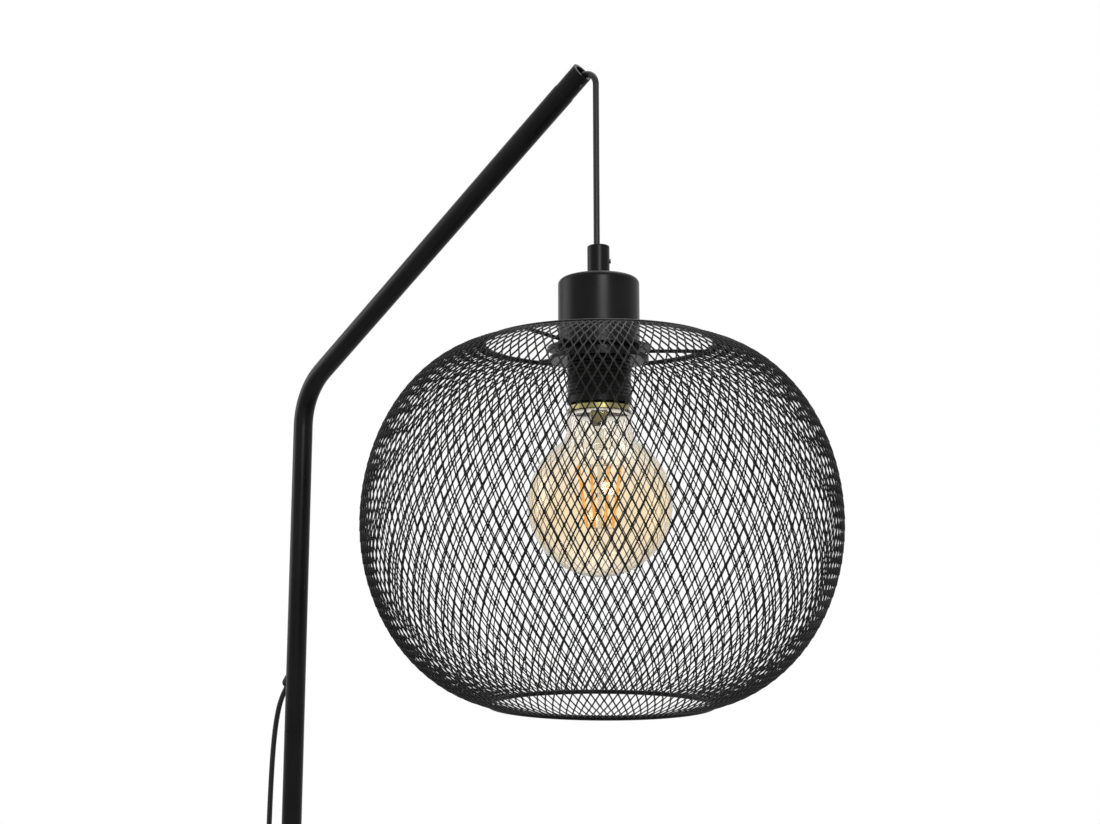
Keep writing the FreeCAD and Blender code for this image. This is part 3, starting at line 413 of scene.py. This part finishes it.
def cage_radius(z):
    """The cage's half width at a height: two half ellipses that share the equator."""
    rim, share = (CAGE_TOP_R, UPPER_SWELL) if z > EQUATOR_Z else (CAGE_BOTTOM_R, LOWER_SWELL)
    swell = share * (CAGE_R - rim)
    centre = CAGE_R - swell
    half = RIM_TOP_Z - EQUATOR_Z
    tall = half / math.sqrt(1 - ((rim - centre) / swell) ** 2)
    return centre + swell * math.sqrt(max(0, 1 - ((z - EQUATOR_Z) / tall) ** 2)) - CAGE_SKIN


def cage_line():
    """(distance up the sheet, radius, height) from the bottom ring to the top ring."""
    line, far = [], 0.0
    for step in range(MERIDIAN_STEPS + 1):
        z = RIM_BOTTOM_Z + (RIM_TOP_Z - RIM_BOTTOM_Z) * step / MERIDIAN_STEPS
        r = cage_radius(z)
        if line:
            far += math.hypot(r - line[-1][1], z - line[-1][2])
        line.append((far, r, z))
    return line


def sheet_place(line, share):
    """Radius and height of the sheet at a share of the way up it."""
    goal = share * line[-1][0]
    low, high = 0, len(line) - 1
    while high - low > 1:
        middle = (low + high) // 2
        low, high = (middle, high) if line[middle][0] <= goal else (low, middle)
    (s0, r0, z0), (s1, r1, z1) = line[low], line[high]
    part = (goal - s0) / (s1 - s0)
    return r0 + (r1 - r0) * part, z0 + (z1 - z0) * part


def cage_sheet():
    """A grid poked into triangles, rolled round the shade's axis and joined into diamonds whose
    corners are cut off for the bonds."""
    bpy.ops.object.select_all(action="DESELECT")
    bpy.ops.mesh.primitive_grid_add(x_subdivisions=CAGE_CELLS, y_subdivisions=CAGE_ROWS, size=1)
    piece = bpy.context.object
    bpy.ops.object.mode_set(mode="EDIT")
    bpy.ops.mesh.select_all(action="SELECT")
    bpy.ops.mesh.poke()
    bpy.ops.object.mode_set(mode="OBJECT")
    line = cage_line()
    for vertex in piece.data.vertices:
        turn, share = 2 * math.pi * vertex.co.x, min(max(vertex.co.y + 0.5, 0), 1)
        r, z = sheet_place(line, share)
        vertex.co = (SHADE_X + r * math.cos(turn), r * math.sin(turn), z)
    bpy.ops.object.mode_set(mode="EDIT")
    bpy.ops.mesh.remove_doubles(threshold=MERGE_REACH)
    bpy.ops.mesh.normals_make_consistent(inside=False)
    bpy.ops.mesh.select_mode(type="EDGE")
    bpy.ops.mesh.select_all(action="DESELECT")
    bpy.ops.object.mode_set(mode="OBJECT")
    points = [vertex.co for vertex in piece.data.vertices]
    turns = [math.atan2(point.y, point.x - SHADE_X) for point in points]
    for edge in piece.data.edges:
        a, b = edge.vertices
        upright = abs(math.remainder(turns[a] - turns[b], 2 * math.pi)) < 0.1 * CAGE_PITCH
        level = abs(points[a].z - points[b].z) < SAME_HEIGHT
        at_ring = min(points[a].z - RIM_BOTTOM_Z, RIM_TOP_Z - points[a].z) < NEAR_RING
        edge.select = upright or (level and not at_ring)
    bpy.ops.object.mode_set(mode="EDIT")
    bpy.ops.mesh.dissolve_edges(use_verts=False)
    bpy.ops.mesh.select_mode(type="VERT")
    bpy.ops.mesh.select_all(action="SELECT")
    bpy.ops.mesh.bevel(offset=BOND_REACH, segments=1, affect="VERTICES")
    bpy.ops.object.mode_set(mode="OBJECT")
    return piece


def open_holes(piece):
    """Leaves half a strand round each diamond, tilts the strands and opens the holes."""
    bpy.ops.object.mode_set(mode="EDIT")
    bpy.ops.mesh.select_mode(type="FACE")
    bpy.ops.mesh.select_all(action="DESELECT")
    bpy.ops.object.mode_set(mode="OBJECT")
    for face in piece.data.polygons:
        face.select = face.area > BOND_AREA
    bpy.ops.object.mode_set(mode="EDIT")
    bpy.ops.mesh.inset(thickness=STRAND_W / 2, use_individual=True)
    bpy.ops.object.mode_set(mode="OBJECT")
    mesh = piece.data
    for face in mesh.polygons:
        if not face.select:
            continue
        out = Vector((face.center.x - SHADE_X, face.center.y, 0)).normalized()
        up = face.normal.cross(Vector((0, 0, 1)).cross(out))
        heights = [(mesh.vertices[i].co - face.center).dot(up) for i in face.vertices]
        tallest = max(abs(height) for height in heights)
        for i, height in zip(face.vertices, heights):
            mesh.vertices[i].co -= face.normal * STRAND_TILT * height / tallest
    bpy.ops.object.mode_set(mode="EDIT")
    bpy.ops.mesh.delete(type="FACE")
    bpy.ops.object.mode_set(mode="OBJECT")


def parted(piece):
    """Parts the sheet at the equator, to keep each piece small; the real shade is one sheet."""
    for face in piece.data.polygons:
        face.select = face.center.z > EQUATOR_Z
    bpy.ops.object.mode_set(mode="EDIT")
    bpy.ops.mesh.separate(type="SELECTED")
    bpy.ops.object.mode_set(mode="OBJECT")
    return [half for half in bpy.context.selected_objects if half.type == "MESH"]


cage = cage_sheet()
open_holes(cage)
cage.name = "cage_strands"
halves = parted(cage)
mesh_coat = grained("mesh_coat", (0.004, 0.004, 0.0042), (0.009, 0.009, 0.0093), (0.34, 0.46),
                    broad=60, fine=2500, depth=0.00003, sheen=BLACK_SHEEN)
for half in halves:
    half.name = "cage_strands_upper" if half != cage else "cage_strands_lower"
    thickened(half, STRAND_T, 0)
    half.data.materials.append(mesh_coat)
    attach(half, "pendant")
    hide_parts("cage_mesh")

# ---- lampholder, switch and plug ----------------------------------------------------------------
# Moulded phenolic: satin, a little brown in its black, with fine flow marks. The holder's ring nut
# screws up its threaded skirt and clamps the spider against the cap. The switch's two halves close
# round the cord, the plug is moulded on, and the arm's bush is pressed in.
moulded = grained("moulded_black", (0.003, 0.0028, 0.0026), (0.007, 0.0062, 0.0055), (0.22, 0.36),
                  broad=45, fine=1200, depth=0.00003, rub=(0.03, 0.028, 0.026), sheen=BLACK_SHEEN)
finished(moulded, "lampholder", "shade_ring", "switch_base", "switch_cover", "switch_button",
         "switch_mechanism", "plug_body", "arm_bush")

# ---- grommet, strain reliefs and foot pad -------------------------------------------------------
# Soft black rubber: the grommet is pushed into the pole's hole, the tapered reliefs are moulded on
# the cord, and the pad is glued under the foot. It is dull and takes a little dust.
soft_rubber = grained("soft_rubber", (0.006, 0.006, 0.006), (0.011, 0.011, 0.011), (0.50, 0.66),
                      broad=80, fine=1800, depth=0.00004, dusty=0.06, sheen=BLACK_SHEEN)
finished(soft_rubber, "cord_grommet", "switch_reliefs", "plug_relief", "foot_pad")

# ---- bare metal ---------------------------------------------------------------------------------
# Zinc plated steel inside the pole, foot and cap and for the bulb's support wires, brass in the
# holder and on the bulb's cap, nickel on the plug's pins, and blackened steel screws.


def metal(name, dark, pale, rough, broad, fine, depth):
    """A bare metal with uneven tone and fine marks."""
    material = grained(name, dark, pale, rough, broad, fine, depth)
    material.node_tree.nodes["Principled BSDF"].inputs["Metallic"].default_value = 1
    return material


zinc = metal("zinc_plate", (0.42, 0.43, 0.45), (0.62, 0.62, 0.60), (0.28, 0.45),
             broad=70, fine=1500, depth=0.00003)
brass = metal("brass", (0.26, 0.23, 0.09), (0.42, 0.37, 0.17), (0.28, 0.46),
              broad=90, fine=1500, depth=0.00003)
nickel = metal("nickel", (0.55, 0.53, 0.48), (0.70, 0.67, 0.61), (0.16, 0.30),
               broad=90, fine=2000, depth=0.00002)
blackened = metal("blackened_screw", (0.05, 0.05, 0.05), (0.09, 0.09, 0.09), (0.35, 0.5),
                  broad=200, fine=2500, depth=0.00003)
finished(zinc, "foot_bolt", "foot_washer", "pole_insert", "coupler_lower", "coupler_upper",
         "grip_nipple", "nipple_nut", "filament_supports")
finished(brass, "holder_socket", "holder_contact", "bulb_screw_cap", "bulb_contact")
finished(nickel, "plug_pins")
finished(blackened, "arm_set_screw", "grip_screw")

# ---- bulb globe ---------------------------------------------------------------------------------
# A 95 mm globe of thin blown glass, which flares into a neck that is cemented into a rolled brass
# cap. A faint amber coat lies on it, deepest round the middle and paler at the bottom and the neck.
BULB_R, BULB_NECK_R, BULB_FLARE_R = 0.0475, 0.0215, 0.013
BULB_WALL = 0.0008
GLOBE_BEND = 1.36           # thin glass: at the full index the globe's edge turns too dark
AMBER_MIDDLE = (0.985, 0.885, 0.71)
AMBER_BOTTOM = (0.985, 0.93, 0.82)
AMBER_NECK = (0.985, 0.955, 0.89)
AMBER_NECK_RISE = 0.055     # the coat is palest this far above the globe's centre
AMBER_MIDDLE_DROP = 0.01    # and deepest from this far below it
BULB_FACETS = 96
GLOBE_STEPS, FLARE_STEPS, NECK_STEPS = 34, 10, 3
glass_low, glass_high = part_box("bulb_glass")
globe_z = glass_low[2] + BULB_R
reach, off_axis = BULB_R + BULB_FLARE_R, BULB_NECK_R + BULB_FLARE_R
rise = math.sqrt(reach ** 2 - off_axis ** 2)
flare_way = math.atan2(rise, off_axis)


def bulb_outline():
    """(radius, height) up the globe, round the flare and up the neck."""
    outline = []
    for step in range(1, GLOBE_STEPS + 1):
        way = -math.pi / 2 + (math.pi / 2 + flare_way) * step / GLOBE_STEPS
        outline.append((BULB_R * math.cos(way), globe_z + BULB_R * math.sin(way)))
    for step in range(1, FLARE_STEPS + 1):
        way = flare_way * (1 - step / FLARE_STEPS)
        outline.append((off_axis - BULB_FLARE_R * math.cos(way),
                        globe_z + rise - BULB_FLARE_R * math.sin(way)))
    neck_rise = glass_high[2] - globe_z - rise
    for step in range(1, NECK_STEPS + 1):
        outline.append((BULB_NECK_R, globe_z + rise + neck_rise * step / NECK_STEPS))
    return outline


def spun_shell(name, outline, facets, bottom):
    """A shell drawn up ring by ring from a closed bottom, on the shade's axis."""
    bpy.ops.object.select_all(action="DESELECT")
    radius, height = outline[0]
    bpy.ops.mesh.primitive_circle_add(vertices=facets, radius=radius, fill_type="TRIFAN",
                                      location=(SHADE_X, 0, height))
    piece = bpy.context.object
    piece.name = name
    bpy.ops.object.transform_apply(location=True)
    for vertex in piece.data.vertices:
        if math.hypot(vertex.co.x - SHADE_X, vertex.co.y) < radius / 2:
            vertex.co.z = bottom
    bpy.ops.object.mode_set(mode="EDIT")
    bpy.ops.mesh.select_all(action="SELECT")
    bpy.ops.mesh.region_to_loop()
    for (r0, z0), (r1, z1) in zip(outline, outline[1:]):
        bpy.ops.mesh.extrude_region_move(TRANSFORM_OT_translate={"value": (0, 0, z1 - z0)})
        bpy.ops.transform.resize(value=(r1 / r0, r1 / r0, 1), center_override=(SHADE_X, 0, z1))
    bpy.ops.mesh.select_all(action="SELECT")
    bpy.ops.mesh.normals_make_consistent(inside=False)
    bpy.ops.object.mode_set(mode="OBJECT")
    return piece


globe = spun_shell("bulb_globe", bulb_outline(), BULB_FACETS, glass_low[2])
thickened(globe, BULB_WALL, -1)
bpy.ops.object.shade_smooth()


def glass(name, bend, broad, fine, rough, ripple, strength):
    """Glass with uneven gloss and a slow ripple; returns it, its shader and its clouds."""
    material = bpy.data.materials.new(name)
    material.use_nodes = True
    shader = material.node_tree.nodes["Principled BSDF"]
    shader.inputs["Transmission Weight"].default_value = 1
    shader.inputs["IOR"].default_value = bend
    clouds = placed(material, grain, Broad=broad, Fine=fine).outputs["Clouds"]
    material.node_tree.links.new(ranged(material, clouds, *rough), shader.inputs["Roughness"])
    bumped(material, shader, clouds, ripple, strength)
    return material, shader, clouds


amber, amber_shader, _ = glass("amber_glass", GLOBE_BEND, broad=22.0, fine=220.0,
                               rough=(0.0, 0.012), ripple=0.00005, strength=0.3)
amber_place = amber.node_tree.nodes.new("ShaderNodeTexCoord")
amber_split = amber.node_tree.nodes.new("ShaderNodeSeparateXYZ")
amber.node_tree.links.new(amber_place.outputs["Object"], amber_split.inputs["Vector"])
amber_height = amber_split.outputs["Z"]
bottom_paling = ranged(amber, amber_height, 1, 0, globe_z - BULB_R, globe_z - AMBER_MIDDLE_DROP)
neck_paling = ranged(amber, amber_height, 0, 1, globe_z, globe_z + AMBER_NECK_RISE)
amber_coat = blended(amber, bottom_paling, AMBER_MIDDLE, AMBER_BOTTOM)
amber_coat = blended(amber, neck_paling, amber_coat, AMBER_NECK)
amber.node_tree.links.new(amber_coat, amber_shader.inputs["Base Color"])
globe.data.materials.append(amber)
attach(globe, "pendant")
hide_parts("bulb_glass")

# ---- bulb mount and strips ----------------------------------------------------------------------
# Inside the globe a pressed glass mount, with dark glass round the end contact, carries straight
# strips in a cone that narrows downward. The bulb is off; a faint orange emission on the strips is
# a painted glow that stands in for the daylight passing through their phosphor coat.
MOUNT_BEND = 1.5
STRIP_PAINTED_GLOW, STRIP_PAINTED_GLOW_COLOUR = 0.25, (1.0, 0.45, 0.06, 1)
clear, clear_shader, clear_clouds = glass("clear_glass", MOUNT_BEND, broad=120.0, fine=900.0,
                                          rough=(0.02, 0.12), ripple=0.0004, strength=0.5)
clear_tone = blended(clear, ranged(clear, clear_clouds, 0, 1),
                     (0.90, 0.90, 0.84), (0.97, 0.97, 0.93))
clear.node_tree.links.new(clear_tone, clear_shader.inputs["Base Color"])
finished(clear, "bulb_stem")
vitrite = grained("dark_vitrite", (0.012, 0.008, 0.02), (0.03, 0.02, 0.045), (0.08, 0.2),
                  broad=60, fine=900, depth=0.00003)
finished(vitrite, "bulb_insulator")
phosphor = grained("phosphor", (0.98, 0.47, 0.07), (1.0, 0.60, 0.14), (0.5, 0.7),
                   broad=300, fine=2500, depth=0.00005)
strip_shader = phosphor.node_tree.nodes["Principled BSDF"]
# painted glow: the unlit strips are given a faint orange emission
strip_shader.inputs["Emission Color"].default_value = STRIP_PAINTED_GLOW_COLOUR
strip_shader.inputs["Emission Strength"].default_value = STRIP_PAINTED_GLOW
finished(phosphor, "bulb_filaments")

# ---- floor and light ----------------------------------------------------------------------------
# A pale matt floor far wider than the lamp, a white surround, and soft studio lamps: a small one
# just behind the viewer, which shows as the bright spot on the bulb, one on the left, one overhead.
FLOOR_R = 4.0
FILL_LEVEL = 0.6
LAMPS = (("near", (1.206, -0.70, 1.62), 0.4, 7.5),      # name, place, width and watts
         ("left", (-1.6, -1.0, 1.6), 1.2, 12.0),
         ("overhead", (0.3, 0.4, 3.0), 1.6, 18.0))

bpy.ops.object.select_all(action="DESELECT")
bpy.ops.mesh.primitive_circle_add(vertices=96, radius=FLOOR_R, fill_type="NGON",
                                  location=(0, 0, 0))
floor = bpy.context.object
floor.name = "floor"
floor_paint = grained("floor_paint", (0.78, 0.78, 0.775), (0.82, 0.82, 0.815), (0.7, 0.85),
                      broad=3, fine=60, depth=0.0002)
floor.data.materials.append(floor_paint)

world = bpy.data.worlds.new("studio")
scene.world = world
world.use_nodes = True
sky_nodes, sky_links = world.node_tree.nodes, world.node_tree.links
fill = sky_nodes["Background"]
fill.inputs["Color"].default_value = (1, 1, 1, 1)
fill.inputs["Strength"].default_value = FILL_LEVEL
white = sky_nodes.new("ShaderNodeBackground")
white.inputs["Color"].default_value = (1, 1, 1, 1)
ray = sky_nodes.new("ShaderNodeLightPath")
seen = sky_nodes.new("ShaderNodeMath")
seen.operation = "MAXIMUM"
seen_or_through = sky_nodes.new("ShaderNodeMath")
seen_or_through.operation = "MAXIMUM"
choice = sky_nodes.new("ShaderNodeMixShader")
sky_links.new(ray.outputs["Is Camera Ray"], seen.inputs[0])
sky_links.new(ray.outputs["Is Glossy Ray"], seen.inputs[1])
sky_links.new(seen.outputs["Value"], seen_or_through.inputs[0])
sky_links.new(ray.outputs["Is Transmission Ray"], seen_or_through.inputs[1])
sky_links.new(seen_or_through.outputs["Value"], choice.inputs["Fac"])
sky_links.new(fill.outputs["Background"], choice.inputs[1])
sky_links.new(white.outputs["Background"], choice.inputs[2])
sky_links.new(choice.outputs["Shader"], sky_nodes["World Output"].inputs["Surface"])

for name, place, size, power in LAMPS:
    lamp_data = bpy.data.lights.new(name, "AREA")
    lamp_data.size = size
    lamp_data.energy = power
    lamp = bpy.data.objects.new(name, lamp_data)
    scene.collection.objects.link(lamp)
    lamp.location = place
    aim = Vector((SHADE_X, 0, EQUATOR_Z)) - lamp.location
    lamp.rotation_euler = aim.to_track_quat("-Z", "Y").to_euler()

scene.view_settings.view_transform = "Standard"
